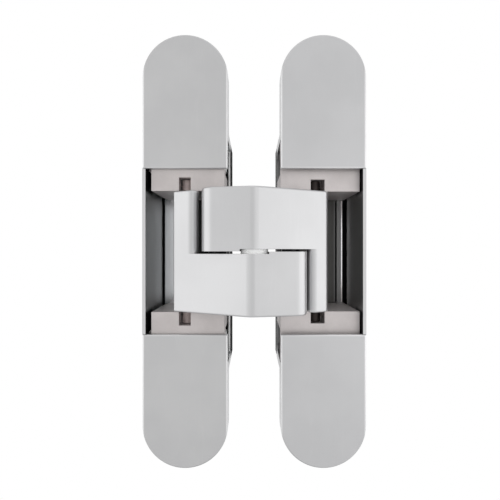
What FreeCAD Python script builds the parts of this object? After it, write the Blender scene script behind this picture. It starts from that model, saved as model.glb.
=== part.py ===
import FreeCAD, Part
import os
from math import acos, asin, atan2, cos, hypot, pi, radians, sin
from types import SimpleNamespace

# Concealed door hinge, shown open at 180 degrees.
# Working axes in millimetres: X from the frame side to the door side, Y into the housings, Z up.
# x = 0 lies midway between the housings, y = 0 is the plane of the cover caps' faces.
# At export the origin moves to the middle of the frame side's screws, on the back of its flange.

Vector = FreeCAD.Vector
Z_AXIS = Vector(0, 0, 1)
Y_AXIS = Vector(0, 1, 0)

# Housings
body_width = 30.0
body_height = 152.0
body_depth = 34.0
body_gap = 18.5
flange_depth = 6.9
wall = 1.15
end_wall = 1.2
cap_thickness = 1.0
cap_fillet = 0.6
cap_lead = 1.05
screw_hole_r = 2.6
screw_head_r = 4.7
screw_lead = 7.3
screw_spacing = 16.0
peg_r = 1.5
peg_length = 3.0
peg_margin = 4.5
peg_lead = 4.3
peg_spacing = 11.0

# Rear trays
tray_skin = 0.5
tray_back = 1.3
tray_rim = 1.0
snap_z = 22.0
snap_height = 6.0
snap_depth = 3.0
snap_from_back = 5.0
snap_lug = 0.4
panel_margin = 4.5
panel_end_margin = 7.7
panel_sink = 0.4
panel_corner_r = 3.0
panel_rib = 1.2

# Clearances
slip = 0.02
running = 0.05
slot_running = 0.075
seat_gap = 0.05
side_gap = 0.3
head_gap = 0.2
pin_end_gap = 0.3
nest_gap = 0.6
inner_gap = 0.15

# Cutting shapes pass the stock by this length, edges are matched to this tolerance
over = 1.0
match = 0.01

# Linkage, seen along Z
pivot_margin = 4.0
pivot_v = 5.5
centre_v = -9.4
closed_gap = 5.0
root_facet = 27.0
tip_facet = 11.0
ridge_lead = 5.2
ridge_r = 4.6
ridge_offset = 0.6
centre_boss_r = 4.85
eye_r = 3.45
limb_wall = 0.75
limb_r = 4.8
knuckle_gap = 0.85
arm_half = 20.9
arm_split = 0.05
root_drop = 0.8
arm_fillet = 0.6

# Pins, sleeves and washers
centre_pin_r = 2.5
centre_bush_r = 3.3
pin_recess = 0.5
pivot_pin_r = 1.9
slider_pin_r = 1.875
pin_seat = 4.25
washer_r = 4.5
washer_play = 0.05

# Carriages
pocket_gap = 0.55
block_height = 6.55
web = 1.4
ear = 3.0
ear_length = 11.3
thrust_play = 0.025

# Height slides and their screws
slide_thickness = 6.0
slide_x_margin = 0.2
height_travel = 2.0
side_travel = 1.2
ledge_depth = 6.0
clamp_margin = 6.4
clamp_r = 2.0
clamp_head_r = 3.4
clamp_head = 2.4
side_screw_r = 1.5
side_head_r = 2.7
side_head = 1.4
hex_share = 0.5
hex_depth_share = 0.7
screw_short = 0.5
slide_corner_r = 1.0

# Depth screws
depth_travel = 1.0
depth_screw_r = 2.5
depth_head_r = 4.2
depth_head = 2.4
depth_screw_lead = 7.0
depth_hex_share = 0.8
head_play = 0.1
ring = 0.6
ring_r = 3.6

# Web of the door carriage: slot beside its far edge, and a raised land along that edge
groove_offset = 2.8
groove_width = 0.7
land_width = 0.75
land_height = 0.3

# The two sides: u runs from a housing's own axis towards the other housing, v into it.
half_width = body_width / 2
deep_near = half_width - wall - inner_gap
frame_side = SimpleNamespace(name="frame", mirrored=False, block_front=1.3, near_gap=1.3, far_gap=2.93,
                             near_end_gap=5.0, far_end_gap=5.9, web_gap=1.9, floor_gap=4.1,
                             taper_gap=11.9, taper_u=1.5, low_wall_gap=16.0, opening_r=1.0,
                             pin_gap=15.13, pin_v=7.2, mouth_far=0.3, notch_rise=0.45)
door_side = SimpleNamespace(name="door", mirrored=True, block_front=3.0, near_gap=0.15, far_gap=1.63,
                            near_end_gap=11.5, far_end_gap=8.3, web_gap=2.05, floor_gap=3.8,
                            taper_gap=5.8, taper_u=0.7, low_wall_gap=10.0, opening_r=4.0,
                            pin_gap=12.85, pin_v=7.0, mouth_far=1.1, notch_rise=0.0)
for side in (frame_side, door_side):
    side.near = half_width - side.near_gap
    side.far = side.far_gap - half_width
    side.near_end = body_depth - side.near_end_gap
    side.far_wall_end = body_depth - side.far_end_gap
    side.web_far = side.web_gap - half_width
    side.floor = body_depth - side.floor_gap
    side.taper_v = body_depth - side.taper_gap
    side.low_wall = body_depth - side.low_wall_gap
    side.tray_front = side.low_wall + tray_rim
    side.pin_u = half_width - side.pin_gap
    side.slot_top = arm_half + pocket_gap + pin_seat + side.notch_rise

# The two arms: each one's knuckle slides in one housing and its tip turns in the other.
frame_knuckle = SimpleNamespace(side=frame_side, end_r=0.8, inner_r=2.35, setback=0.88, pin_wall=1.82,
                                end_reach=0.0, ridge_x=-ridge_offset)
door_knuckle = SimpleNamespace(side=door_side, end_r=2.9, inner_r=2.2, setback=0.0, pin_wall=1.15,
                               end_reach=0.58, ridge_x=ridge_offset)

half_spacing = (body_width + body_gap) / 2
origin_shift = Vector(half_spacing, -flange_depth, 0)
pivot_u = half_width - pivot_margin
pivot_x = half_spacing - pivot_u
limb_x = pivot_x + eye_r + limb_wall
pocket_half = arm_half + pocket_gap
block_end = pocket_half + block_height
ear_end = block_end + ear_length
low_wall_half = ear_end + head_gap
deep_half = low_wall_half + height_travel + end_wall
cap_inner_z = block_end + cap_lead
screw_inner_z = deep_half + screw_lead
screw_outer_z = screw_inner_z + screw_spacing
peg_side_z = deep_half + peg_lead
peg_side_x = half_width - peg_margin
peg_outer_z = peg_side_z + peg_spacing
clamp_x = half_width - clamp_margin
depth_screw_z = block_end + depth_screw_lead
tray_inner = body_depth - tray_back
far_wall = -half_width + wall
inner_end = deep_half - end_wall


# Turns of the arms from open to closed
def linkage():
    reach = hypot(pivot_x, pivot_v - centre_v)
    drop = pivot_v + closed_gap / 2
    open_turn = atan2(pivot_x, pivot_v - centre_v)
    closed_turn = -acos(drop / reach)
    swing = open_turn - closed_turn
    return reach, open_turn, swing, pi - swing


reach, open_turn, swing, follow = linkage()


# Place of a slider pin in its own housing, at a share of the closing motion
def slider_place(side, share):
    turn = open_turn - share * swing
    centre_u = pivot_u + reach * sin(turn)
    centre_y = pivot_v - reach * cos(turn)
    back_u = side.pin_u - half_spacing
    back_v = side.pin_v - centre_v
    angle = atan2(back_v, back_u) - share * follow
    length = hypot(back_u, back_v)
    return Vector(centre_u + length * cos(angle), centre_y + length * sin(angle), 0)


def box(x0, x1, y0, y1, z0, z1):
    return Part.makeBox(x1 - x0, y1 - y0, z1 - z0, Vector(x0, y0, z0))


def post(x, y, r, z0, z1):
    return Part.makeCylinder(r, z1 - z0, Vector(x, y, z0), Z_AXIS)


def bolt_shaft(x, z, r, y0, y1):
    return Part.makeCylinder(r, y1 - y0, Vector(x, y0, z), Y_AXIS)


def extrude(wire, z0, z1):
    face = Part.Face(wire)
    face.translate(Vector(0, 0, z0))
    return face.extrude(Vector(0, 0, z1 - z0))


def both_ends(shape):
    return shape.fuse(shape.mirror(Vector(0, 0, 0), Z_AXIS))


def pair(shape):
    return Part.makeCompound([shape, shape.mirror(Vector(0, 0, 0), Z_AXIS)])


# From a side's own u, v axes to the working axes
def place(shape, side):
    if side.mirrored:
        turned = shape.mirror(Vector(0, 0, 0), Vector(1, 0, 0))
        turned.translate(Vector(half_spacing, 0, 0))
        return turned
    moved = shape.copy()
    moved.translate(Vector(-half_spacing, 0, 0))
    return moved


# Closed outline of arcs and tangents round circles (x, y, r), given anticlockwise
def belt(circles):
    count = len(circles)
    normals = []
    for i in range(count):
        x0, y0, r0 = circles[i]
        x1, y1, r1 = circles[(i + 1) % count]
        run = hypot(x1 - x0, y1 - y0)
        angle = atan2(y1 - y0, x1 - x0) - pi / 2 + asin((r0 - r1) / run)
        normals.append(Vector(cos(angle), sin(angle), 0))
    edges = []
    for i in range(count):
        x, y, r = circles[i]
        centre = Vector(x, y, 0)
        start = normals[i - 1]
        end = normals[i]
        middle = (start + end).normalize()
        edges.append(Part.Arc(centre + start * r, centre + middle * r, centre + end * r).toShape())
        nx, ny, nr = circles[(i + 1) % count]
        edges.append(Part.LineSegment(centre + end * r, Vector(nx, ny, 0) + end * nr).toShape())
    return Part.Wire(edges)


def polygon(points):
    corners = [Vector(x, y, 0) for x, y in points]
    return Part.makePolygon(corners + [corners[0]])


# Outline with round ends, standing along Z in the plane y
def obround(width, height, y0, y1):
    r = width / 2
    straight = height / 2 - r
    body = box(-r, r, y0, y1, -straight, straight)
    body = body.fuse(bolt_shaft(0, straight, r, y0, y1))
    return body.fuse(bolt_shaft(0, -straight, r, y0, y1)).removeSplitter()


# Round-cornered slot in a plate that lies across Y, for a screw that may shift by x_run and z_run
def plate_slot(x, z, r, x_run, z_run, y0, y1):
    places = {(x + i * x_run / 2, z + j * z_run / 2) for i in (-1, 1) for j in (-1, 1)}
    pieces = [bolt_shaft(px, pz, r, y0, y1) for px, pz in sorted(places)]
    if x_run > 0:
        pieces.append(box(x - x_run / 2, x + x_run / 2, y0, y1, z - z_run / 2 - r, z + z_run / 2 + r))
    if z_run > 0:
        pieces.append(box(x - x_run / 2 - r, x + x_run / 2 + r, y0, y1, z - z_run / 2, z + z_run / 2))
    return pieces[0].fuse(pieces[1:])


# Hexagon socket in a screw's head
def hex_socket(x, z, r, y0, y1):
    corners = [Vector(x + r * cos(pi / 3 * i), y0, z + r * sin(pi / 3 * i)) for i in range(6)]
    face = Part.Face(Part.makePolygon(corners + [corners[0]]))
    return face.extrude(Vector(0, y1 - y0, 0))


# Socket screw that lies along Y with its head in front
def socket_screw(x, z, shaft_r, head_r, head, y0, y1):
    screw = bolt_shaft(x, z, head_r, y0, y0 + head).fuse(bolt_shaft(x, z, shaft_r, y0 + head, y1))
    return screw.cut(hex_socket(x, z, head_r * hex_share, y0, y0 + head * hex_depth_share))


# Screw hole in a flange, with its countersink under the cap
def countersunk_hole(z):
    cone_depth = screw_head_r - screw_hole_r
    cone = Part.makeCone(screw_head_r, screw_hole_r, cone_depth, Vector(0, cap_thickness, z), Y_AXIS)
    return cone.fuse(bolt_shaft(0, z, screw_hole_r, cap_thickness, flange_depth))


def peg_places():
    return [(-peg_side_x, peg_side_z), (peg_side_x, peg_side_z), (0, peg_outer_z)]


# Cast housing: flange with round ends, deep walls open towards the arms, ledges for the screws
def housing(side):
    flange = obround(body_width, body_height, cap_thickness, flange_depth)
    deep = box(-half_width, half_width, cap_thickness, side.tray_front, -deep_half, deep_half)
    rear_x = half_width - tray_skin
    rear_z = deep_half - tray_skin
    rear = box(-rear_x, rear_x, side.tray_front, tray_inner - seat_gap, -rear_z, rear_z)
    rim = box(-half_width, -half_width + wall, 0, cap_thickness, -cap_inner_z, cap_inner_z)
    body = flange.fuse([deep, rear, rim])
    pocket = box(far_wall, half_width - wall, -over, body_depth, -inner_end, inner_end)
    body = body.cut([pocket, side_opening(side)])
    body = body.fuse(both_ends(ledge(side)))
    body = body.fuse(snap_bars(side_gap, snap_lug - tray_skin).cut(pocket))
    body = body.cut(box(-half_width - over, far_wall, side.far_wall_end, body_depth,
                        -low_wall_half, low_wall_half))
    for z in (screw_inner_z, screw_outer_z):
        body = body.cut(both_ends(countersunk_hole(z)))
    for x, z in peg_places():
        hole = bolt_shaft(x, z, peg_r + slip, cap_thickness, cap_thickness + peg_length + side_gap)
        body = body.cut(both_ends(hole))
    return body.removeSplitter()


# Opening in the near wall that the arms pass through, with rounded rear corners
def side_opening(side):
    opening = box(0, half_width + over, -over, side.low_wall, -low_wall_half, low_wall_half)
    rear = [e for e in opening.Edges if e.BoundBox.YMin > side.low_wall - match and e.BoundBox.XLength > over]
    return opening.makeFillet(side.opening_r, rear)


# Bars through the near wall and the end walls: the tray's snap windows, or with a gap the housing's lugs
def snap_bars(gap, reach):
    back = body_depth - snap_from_back - gap
    front = body_depth - snap_from_back - snap_depth + gap
    half = snap_height / 2 - gap
    near = box(0, half_width + reach, front, back, snap_z - half, snap_z + half)
    end = box(-half, half, front, back, 0, deep_half + reach)
    return both_ends(near.fuse(end))


# Ledge across the pocket's end, which the adjusting screws are threaded into
def ledge(side):
    if side is frame_side:
        front = side.block_front + ear + slide_thickness + 2 * seat_gap
        bore = bolt_shaft(-clamp_x, clamp_z(), clamp_r + slip, front, front + ledge_depth)
        bore = bore.fuse(bolt_shaft(clamp_x, clamp_z(), clamp_r + slip, front, front + ledge_depth))
        inner = block_end + height_travel + side_gap
    else:
        front = side.block_front + ear + depth_travel + side_gap
        bore = bolt_shaft(0, depth_screw_z, depth_screw_r + running, front, front + ledge_depth)
        inner = block_end + side_gap
    slab = box(far_wall, deep_near, front, front + ledge_depth, inner, inner_end)
    return slab.cut(bore)


# Cover cap: a flat plate with a round end, softened edges and three pegs behind
def cap():
    plate = obround(body_width, body_height, 0, cap_thickness)
    plate = plate.common(box(-half_width, half_width, 0, cap_thickness, cap_inner_z, body_height))
    front_edges = [e for e in plate.Edges if e.BoundBox.YMax < match]
    plate = plate.makeFillet(cap_fillet, front_edges)
    for x, z in peg_places():
        plate = plate.fuse(bolt_shaft(x, z, peg_r, cap_thickness, cap_thickness + peg_length))
    return plate


# Plastic tray pushed over the stepped rear of a housing
def rear_tray(side):
    shell = box(-half_width, half_width, side.tray_front + seat_gap, body_depth, -deep_half, deep_half)
    depth = body_depth - side.tray_front - seat_gap
    along_depth = [e for e in shell.Edges if abs(e.BoundBox.YLength - depth) < match]
    shell = shell.makeFillet(tray_skin, along_depth)
    inner_x = half_width - tray_skin + slip
    inner_z = deep_half - tray_skin + slip
    shell = shell.cut(box(-inner_x, inner_x, 0, tray_inner, -inner_z, inner_z))
    return shell.cut([snap_bars(0, over), back_panels()])


# Two sunk panels in the tray's back, with a rib between them
def back_panels():
    sink = box(panel_margin - half_width, half_width - panel_margin, body_depth - panel_sink, body_depth,
               panel_rib / 2, deep_half - panel_end_margin)
    corners = [e for e in sink.Edges if abs(e.BoundBox.YLength - panel_sink) < match]
    return both_ends(sink.makeFillet(panel_corner_r, corners))


# Curved cam slot that a slider pin follows, with its open mouth in front
def cam_slot(side):
    r = slider_pin_r + slot_running
    samples = 24
    step = 1e-4
    near_rail = []
    far_rail = []
    for i in range(samples + 1):
        share = i / samples
        here = slider_place(side, share)
        along = (slider_place(side, share + step) - slider_place(side, share - step)).normalize()
        across = Vector(along.y, -along.x, 0)
        near_rail.append(here + across * r)
        far_rail.append(here - across * r)
    near_curve = Part.BSplineCurve()
    near_curve.interpolate(near_rail)
    far_curve = Part.BSplineCurve()
    far_curve.interpolate(far_rail)
    edges = [near_curve.toShape(),
             Part.LineSegment(near_rail[-1], far_rail[-1]).toShape(),
             far_curve.toShape(),
             Part.LineSegment(far_rail[0], near_rail[0]).toShape()]
    wire = Part.Wire(Part.__sortEdges__(edges))
    low = pocket_half - over
    top = side.slot_top
    first = slider_place(side, 0)
    last = slider_place(side, 1)
    slot = extrude(wire, low, top)
    mouth = box(first.x - r - side.mouth_far, first.x + r, side.block_front - over, first.y, low, top)
    return slot.fuse([mouth, post(first.x, first.y, r, low, top), post(last.x, last.y, r, low, top)])


# Carriage: two end blocks joined by a back web, with a screw ear at each end
def carriage(side):
    back = side.floor + web
    front = side.block_front
    outline = polygon([(side.far, front), (side.near, front), (side.near, side.near_end),
                       (deep_near, side.near_end), (deep_near, back),
                       (side.far + side.taper_u, back), (side.far, side.taper_v)])
    body = extrude(outline, -block_end, block_end)
    body = body.cut(box(-body_width, body_width, 0, side.floor, -pocket_half, pocket_half))
    body = body.fuse(box(side.web_far, deep_near, side.floor, back, -block_end, block_end))
    tongue = box(side.far, side.near, front, front + ear, block_end - over, ear_end)
    body = body.fuse(both_ends(tongue))
    body = body.cut(both_ends(cam_slot(side)))
    pin_hole = post(pivot_u, pivot_v, pivot_pin_r + slip, pocket_half - over, pocket_half + pin_seat)
    body = body.cut(both_ends(pin_hole))
    if side is frame_side:
        body = body.cut(both_ends(frame_ear_holes()))
    else:
        body = body.cut(both_ends(door_ear_holes()))
        groove_u = side.far + groove_offset
        body = body.cut(box(groove_u, groove_u + groove_width, side.floor, back, -pocket_half, pocket_half))
        body = body.fuse(box(side.web_far, side.web_far + land_width, side.floor - land_height, side.floor,
                             -pocket_half, pocket_half))
    return body.removeSplitter()


def clamp_z():
    return (block_end + side_gap + ear_end) / 2


# Slots of the frame side's ears: one for the side screw, two to reach the height clamps
def frame_ear_holes():
    front = frame_side.block_front
    back = front + ear
    z = clamp_z()
    shift = side_travel / 2
    slot = plate_slot(shift, z, side_screw_r + slot_running, side_travel, 0, front, back)
    sink = plate_slot(shift, z, side_head_r + side_gap, side_travel, 0, front, front + side_head + head_gap)
    first_reach = plate_slot(shift - clamp_x, z, clamp_r, side_travel, 2 * height_travel, front, back)
    second_reach = plate_slot(shift + clamp_x, z, clamp_r, side_travel, 2 * height_travel, front, back)
    return slot.fuse([sink, first_reach, second_reach])


# Counterbored holes of the door side's ears for the depth screws and their rings
def door_ear_holes():
    front = door_side.block_front
    sink = front + depth_head / 2 + head_play
    head_sink = bolt_shaft(0, depth_screw_z, depth_head_r + running, front, sink)
    neck = bolt_shaft(0, depth_screw_z, depth_screw_r + running, front, front + ear)
    ring_sink = bolt_shaft(0, depth_screw_z, ring_r + running, front + ear - ring - head_play, front + ear)
    return head_sink.fuse([neck, ring_sink])


# Height slide: held to the housing by clamps in upright slots, carries the carriage's ear
def height_slide():
    front = frame_side.block_front + ear + seat_gap
    back = front + slide_thickness
    z = clamp_z()
    slide = box(far_wall + slide_x_margin, deep_near, front, back, block_end + side_gap, ear_end)
    through = [e for e in slide.Edges if abs(e.BoundBox.YLength - slide_thickness) < match]
    slide = slide.makeFillet(slide_corner_r, through)
    channel_half = clamp_head_r + head_gap
    for x in (-clamp_x, clamp_x):
        channel = box(x - channel_half, x + channel_half, front - over, front + clamp_head + side_gap,
                      block_end, ear_end + over)
        slot = plate_slot(x, z, clamp_r + slot_running, 0, 2 * height_travel, front, back)
        slide = slide.cut([channel, slot])
    return slide.cut(bolt_shaft(0, z, side_screw_r + slip, front, back))


# Clamp screws of the height slides, threaded into the housing's ledges
def height_clamps():
    head_front = frame_side.block_front + ear + seat_gap + side_gap
    end = frame_side.block_front + ear + slide_thickness + 2 * seat_gap + ledge_depth - screw_short
    screws = []
    for x in (-clamp_x, clamp_x):
        for z in (-clamp_z(), clamp_z()):
            screws.append(socket_screw(x, z, clamp_r, clamp_head_r, clamp_head, head_front, end))
    return Part.makeCompound(screws)


# Screws that hold the frame carriage's ears to the height slides
def side_clamps():
    head_front = frame_side.block_front + head_gap
    end = frame_side.block_front + ear + seat_gap + slide_thickness - screw_short
    return pair(socket_screw(0, clamp_z(), side_screw_r, side_head_r, side_head, head_front, end))


# Depth adjusting screw, held in the door carriage's ear and threaded into the door housing's ledge
def depth_screw():
    front = door_side.block_front
    sink = front + depth_head / 2 + head_play
    head_front = sink - depth_head / 2
    screw = bolt_shaft(0, depth_screw_z, depth_head_r, head_front, sink)
    end = front + ear + depth_travel + side_gap + ledge_depth - screw_short
    screw = screw.fuse(bolt_shaft(0, depth_screw_z, depth_screw_r, sink, end))
    return screw.cut(hex_socket(0, depth_screw_z, depth_screw_r * depth_hex_share, head_front,
                                head_front + depth_head))


def screw_ring():
    back = door_side.block_front + ear
    disc = bolt_shaft(0, depth_screw_z, ring_r, back - ring, back)
    return disc.cut(bolt_shaft(0, depth_screw_z, depth_screw_r + slip, back - ring, back))


# Circle of radius r, centred at x, that touches the facet beyond the ridge if x is past it, else the root's
def facet_circle(knuckle, x, r):
    run = x - knuckle.ridge_x
    facet = radians(tip_facet if run > 0 else root_facet)
    ridge_y = centre_v - ridge_lead + ridge_r
    y = ridge_y + (r - ridge_r + abs(run) * sin(facet)) / cos(facet)
    return (x, y, r)


# L-shaped arm: knuckle towards -X at full height, tip towards +X at half height
def arm(knuckle):
    side = knuckle.side
    pin_x = side.pin_u - half_spacing
    pin_wall_r = slider_pin_r + knuckle.pin_wall
    ridge = facet_circle(knuckle, knuckle.ridge_x, ridge_r)
    centre = (0, centre_v, centre_boss_r)
    end_x = pin_x - pin_wall_r - knuckle.end_reach + knuckle.end_r
    knuckle_end = facet_circle(knuckle, end_x, knuckle.end_r)
    inner_x = limb_x + knuckle_gap + knuckle.setback
    knuckle_inner = facet_circle(knuckle, -inner_x - knuckle.inner_r, knuckle.inner_r)
    pin_eye = (pin_x, side.pin_v, pin_wall_r)
    corner = facet_circle(knuckle, limb_x - limb_r, limb_r)
    eye = (pivot_x, pivot_v, eye_r)
    root = belt([ridge, centre, pin_eye, knuckle_end])
    tip = belt([ridge, corner, eye, centre])
    knuckle_wire = belt([knuckle_end, knuckle_inner, pin_eye])
    body = extrude(root, -arm_half, -root_drop)
    body = body.fuse(extrude(tip, -arm_half, -root_drop))
    lip = extrude(tip, -root_drop, -arm_split)
    lip = lip.cut(box(-body_width, 0, -body_width, body_width, -root_drop, 0))
    notch_half = washer_r + head_gap
    lip = lip.cut(post(0, centre_v, notch_half, -root_drop, 0))
    lip = lip.cut(box(0, notch_half, -body_width, centre_v, -root_drop, 0))
    body = body.fuse([lip, extrude(knuckle_wire, -arm_half, arm_half)]).removeSplitter()
    body = soften(body)
    body = body.cut(post(-pivot_x, pivot_v, eye_r + nest_gap, -arm_half, 0))
    body = body.cut(post(0, centre_v, centre_bush_r + slip, -arm_half, 0))
    body = body.cut(post(pivot_x, pivot_v, pivot_pin_r + running, -arm_half, 0))
    return body.cut(post(pin_x, side.pin_v, slider_pin_r + slip, -arm_half, arm_half))


# Soft edges round an arm's top and bottom faces
def soften(body):
    rims = []
    for e in body.Edges:
        flat = e.BoundBox.ZLength < match
        if flat and abs(abs(e.BoundBox.ZMax) - arm_half) < match:
            rims.append(e)
    return body.makeFillet(arm_fillet, rims)


# The other arm is turned half round about Y
def turned(shape):
    copy = shape.copy()
    copy.rotate(Vector(0, 0, 0), Y_AXIS, 180)
    return copy


def centre_pin():
    return post(0, centre_v, centre_pin_r, -arm_half + pin_recess, arm_half - pin_recess)


# Bearing bush of the lower arm's centre bore
def centre_bush():
    bush = post(0, centre_v, centre_bush_r, -arm_half + pin_recess, -root_drop)
    return bush.cut(post(0, centre_v, centre_pin_r + running, -arm_half, 0))


def centre_washer():
    disc = post(0, centre_v, washer_r, -root_drop, root_drop - washer_play)
    return disc.cut(post(0, centre_v, centre_pin_r + running, -root_drop, root_drop))


def slider_pin(side):
    end = side.slot_top - pin_end_gap
    return post(side.pin_u, side.pin_v, slider_pin_r, -end, end)


def pivot_pin():
    end = pocket_half + pin_seat - head_play
    return post(pivot_u, pivot_v, pivot_pin_r, -end, end)


# Spacer sleeve on the half of a pivot pin that the eye leaves free; sign is 1 above, -1 below
def spacer_sleeve(sign):
    sleeve = post(pivot_u, pivot_v, eye_r, 0, arm_half)
    sleeve = sleeve.cut(post(pivot_u, pivot_v, pivot_pin_r + slip, 0, arm_half))
    if sign < 0:
        return sleeve.mirror(Vector(0, 0, 0), Z_AXIS)
    return sleeve


def thrust_washers():
    disc = post(pivot_u, pivot_v, eye_r - head_gap, arm_half + thrust_play, pocket_half - thrust_play)
    return pair(disc.cut(post(pivot_u, pivot_v, pivot_pin_r + slip, arm_half, pocket_half)))


def save(name, shape):
    moved = shape.copy()
    moved.translate(origin_shift)
    moved.exportStep("parts/" + name + ".step")


def main():
    os.makedirs("parts", exist_ok=True)
    for side in (frame_side, door_side):
        save(side.name + "_housing", place(housing(side), side))
        save(side.name + "_rear_tray", place(rear_tray(side), side))
        upper = place(cap(), side)
        save(side.name + "_upper_cap", upper)
        save(side.name + "_lower_cap", upper.mirror(Vector(0, 0, 0), Z_AXIS))
        save(side.name + "_carriage", place(carriage(side), side))
        save(side.name + "_pivot_pin", place(pivot_pin(), side))
        save(side.name + "_thrust_washers", place(thrust_washers(), side))
        save(side.name + "_slider_pin", place(slider_pin(side), side))
    save("frame_spacer_sleeve", place(spacer_sleeve(-1), frame_side))
    save("door_spacer_sleeve", place(spacer_sleeve(1), door_side))
    upper_slide = place(height_slide(), frame_side)
    save("frame_upper_height_slide", upper_slide)
    save("frame_lower_height_slide", upper_slide.mirror(Vector(0, 0, 0), Z_AXIS))
    save("frame_height_clamp_screws", place(height_clamps(), frame_side))
    save("frame_side_clamp_screws", place(side_clamps(), frame_side))
    upper_screw = place(depth_screw(), door_side)
    upper_ring = place(screw_ring(), door_side)
    save("door_upper_depth_screw", upper_screw)
    save("door_lower_depth_screw", upper_screw.mirror(Vector(0, 0, 0), Z_AXIS))
    save("door_upper_screw_ring", upper_ring)
    save("door_lower_screw_ring", upper_ring.mirror(Vector(0, 0, 0), Z_AXIS))
    save("lower_arm", arm(frame_knuckle))
    save("upper_arm", turned(arm(door_knuckle)))
    save("centre_pin", centre_pin())
    save("lower_centre_bush", centre_bush())
    save("upper_centre_bush", turned(centre_bush()))
    save("centre_washer", centre_washer())


main()
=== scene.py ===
"""Concealed door hinge: finishes, threaded screws and a small studio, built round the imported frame."""

import math

import bpy
import numpy as np
from bpy.props import FloatProperty, FloatVectorProperty, IntProperty, PointerProperty
from bpy.types import Operator, Panel, PropertyGroup
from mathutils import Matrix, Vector


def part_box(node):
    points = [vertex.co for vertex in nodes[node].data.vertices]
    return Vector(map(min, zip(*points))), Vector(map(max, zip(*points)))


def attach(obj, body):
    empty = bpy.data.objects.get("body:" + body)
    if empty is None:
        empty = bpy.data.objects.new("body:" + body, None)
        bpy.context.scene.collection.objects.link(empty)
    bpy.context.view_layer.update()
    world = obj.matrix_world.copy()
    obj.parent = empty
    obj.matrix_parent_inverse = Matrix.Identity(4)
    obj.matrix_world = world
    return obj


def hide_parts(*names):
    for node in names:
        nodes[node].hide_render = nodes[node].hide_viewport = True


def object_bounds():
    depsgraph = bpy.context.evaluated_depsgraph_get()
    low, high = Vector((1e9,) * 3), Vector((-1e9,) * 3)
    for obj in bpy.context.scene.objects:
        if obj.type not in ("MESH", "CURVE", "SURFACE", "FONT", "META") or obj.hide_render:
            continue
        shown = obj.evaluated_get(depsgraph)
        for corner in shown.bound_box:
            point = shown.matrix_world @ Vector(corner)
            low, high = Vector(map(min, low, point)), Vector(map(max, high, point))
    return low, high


bl_info = {
    "name": "Concealed Door Hinge",
    "version": (1, 0, 0),
    "blender": (4, 5, 0),
    "location": "View3D > Sidebar > Hinge",
    "description": "Dresses the packed hinge frame with its finishes and screws and sets up the studio",
    "category": "Add Mesh",
}

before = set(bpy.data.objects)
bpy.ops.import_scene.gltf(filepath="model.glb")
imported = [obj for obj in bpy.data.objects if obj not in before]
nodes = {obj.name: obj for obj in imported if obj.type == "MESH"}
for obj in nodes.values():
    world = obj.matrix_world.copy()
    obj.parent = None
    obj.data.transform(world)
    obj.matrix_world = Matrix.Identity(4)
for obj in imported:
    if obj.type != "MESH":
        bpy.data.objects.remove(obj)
cad_low, cad_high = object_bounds()

MM = 0.001
X_AXIS = (1, 0, 0)
Y_AXIS = (0, 1, 0)
Z_AXIS = (0, 0, 1)

# Reach of the painted highlight, a lighter coat standing in for the light that a cap's long edges
# and straight end catch, from those edges and from that end, and how much of it shows at that end on
# either side
EDGE_REACH = 0.8 * MM
FOOT_REACH = 0.65 * MM
FRAME_FOOT_SHARE = 0.4
DOOR_FOOT_SHARE = 1.0

# Reach of the milled faces into the end blocks, and their tone and shade as shares of the casting's
FACE_REACH = 0.1 * MM
MILLED_TONE = 1.42
MILLED_SHADE = 1.32

# Where the finish changes inside the carriages and housings, as (start, end) of the change
WEB_Y = (22.2 * MM, 22.6 * MM)
# The frame web turns to painted shade past these X, behind the arms
FRAME_WEB_X = (-7.5 * MM, -4.5 * MM)
# The door web carries a painted shadow of the knuckle short of these X
DOOR_WEB_X = (57.2 * MM, 59.4 * MM)
WALL_Y = (-6.8 * MM, -6.2 * MM)
# Deep in the door housing's pocket, near the web, its wall turns to a lighter, painted-light tone
DEEP_WALL_Y = (10.0 * MM, 19.0 * MM)
DEEP_WALL_X = (50.0 * MM, 55.0 * MM)
# Painted shade on the pocket's walls beside the end blocks: where it begins along |z|, where it begins
# and ends along Y, and its roughness
END_WALL_Z = (20.0 * MM, 21.8 * MM)
END_WALL_FRONT_Y = (-6.88 * MM, -6.78 * MM)
END_WALL_BACK_Y = (2.0 * MM, 5.0 * MM)
END_WALL_ROUGHNESS = 0.9

# Milled land of the frame housing, painted as a highlight between two painted shadow lines: its place
# along Y, and the X where its borders end and begin
LAND_Y = 11.1 * MM
LAND_X = (14.27 * MM, 14.79 * MM)
LAND_BORDER = 0.4 * MM
BLUR = 0.05 * MM

# Depth from the trays' backs over which the raised frame has its own tone
TRAY_BACK = 0.15 * MM


def colour_property(label, text, default):
    return FloatVectorProperty(name=label, description=text, subtype="COLOR", size=3, min=0, max=1,
                               default=default)


def share_property(label, text, default):
    return FloatProperty(name=label, description=text, subtype="FACTOR", min=0, max=1,
                         default=default)


def length_property(label, text, default, low, high):
    return FloatProperty(name=label, description=text, subtype="DISTANCE", unit="LENGTH", min=low,
                         max=high, default=default, precision=6)


def place_property(label, text, default):
    return FloatProperty(name=label, description=text, unit="LENGTH", default=default, precision=5)


def power_property(label, text, default):
    return FloatProperty(name=label, description=text + " in watts", min=0, max=100,
                         default=default)


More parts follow.
